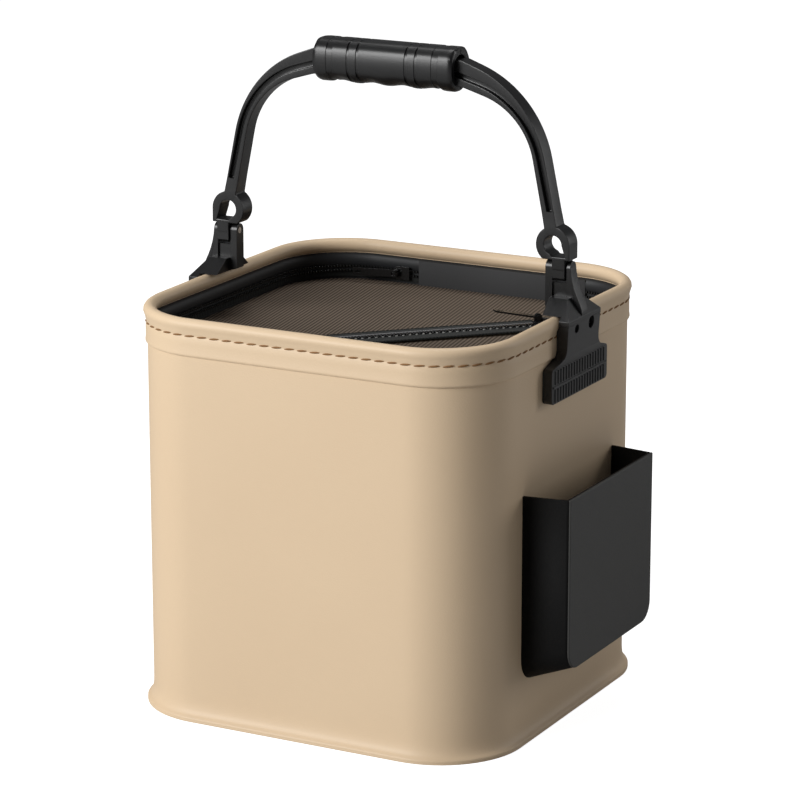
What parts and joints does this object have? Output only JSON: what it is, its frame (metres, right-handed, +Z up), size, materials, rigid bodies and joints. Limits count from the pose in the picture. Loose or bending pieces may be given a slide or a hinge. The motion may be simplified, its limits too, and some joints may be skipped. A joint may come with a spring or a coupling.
{
  "type": "folding bucket",
  "caption": "Square folding bucket of welded foam sheet, with a bail handle on rim brackets, a zipped net cover and an open pocket on its right side.",
  "frame": {"origin": "middle of the flat face that the bucket stands on", "axes": "+Z up, +X to the side with the pocket, -Y to the front face"},
  "size_m": [0.3005, 0.2686, 0.4349],
  "materials": {
    "beige_sheet": "fine leather grain, satin",
    "black_sheet": "fine grain, satin",
    "hoop_rod": "plain",
    "dark_band": "woven",
    "zip_tape": "woven",
    "zip_teeth": "satin",
    "net": "open net",
    "black_plastic": "satin",
    "steel": "satin",
    "slider_metal": "satin"
  },
  "bodies": {
    "base": {"base_panel": "beige_sheet", "wall_panel": "beige_sheet", "wall_seam": "beige_sheet", "side_pocket": "black_sheet"},
    "rim": {"rim_sleeve": "beige_sheet", "rim_hoop": "hoop_rod", "inner_band": "dark_band", "hinge_band": "dark_band", "side_zip_tape": "zip_tape", "side_zip_teeth": "zip_teeth", "bracket_left": "black_plastic", "bracket_right": "black_plastic", "bracket_screws": "steel", "pivot_pins": "steel"},
    "handle": {"bail": "black_plastic", "grip_front": "black_plastic", "grip_rear": "black_plastic"},
    "cover": {"cover_mesh_rear": "net", "cover_mesh_front": "net", "cover_side_tape": "zip_tape", "cover_side_teeth": "zip_teeth", "slit_tape_front": "zip_tape", "slit_tape_rear": "zip_tape", "slit_teeth_front": "zip_teeth", "slit_teeth_rear": "zip_teeth"},
    "side_slider": {"side_zip_slider": "slider_metal"},
    "side_pull": {"side_zip_pull": "slider_metal"},
    "slit_slider": {"slit_zip_slider": "slider_metal"},
    "slit_pull": {"slit_zip_pull": "slider_metal"}
  },
  "joints": [
    {"name": "collapse", "type": "slide", "parent": "base", "child": "rim", "axis": [0, 0, 1], "range_m": [-0.2, 0], "deforming": ["wall_panel", "wall_seam", "side_pocket"]},
    {"name": "handle_fold", "type": "hinge", "parent": "rim", "child": "handle", "pos_m": [0, 0, 0.298], "axis": [1, 0, 0], "range_deg": [-95, 95]},
    {"name": "cover_open", "type": "hinge", "parent": "rim", "child": "cover", "pos_m": [0, 0.117, 0.244], "axis": [-1, 0, 0], "range_deg": [0, 95], "deforming": ["cover_mesh_rear", "cover_mesh_front", "cover_side_tape", "cover_side_teeth", "slit_tape_front", "slit_tape_rear", "slit_teeth_front", "slit_teeth_rear"]},
    {"name": "side_zip_run", "type": "slide", "parent": "rim", "child": "side_slider", "axis": [-1, 0, 0], "range_m": [0, 0.01]},
    {"name": "side_pull_swing", "type": "hinge", "parent": "side_slider", "child": "side_pull", "pos_m": [-0.0609, 0.1211, 0.2495], "axis": [0, 0, 1], "range_deg": [0, 150]},
    {"name": "slit_zip_run", "type": "slide", "parent": "cover", "child": "slit_slider", "axis": [-0.7071, -0.7071, 0], "range_m": [0, 0.18]},
    {"name": "slit_pull_swing", "type": "hinge", "parent": "slit_slider", "child": "slit_pull", "pos_m": [0.08196, 0.05196, 0.2495], "axis": [-0.7071, 0.7071, 0], "range_deg": [0, 150]}
  ]
}
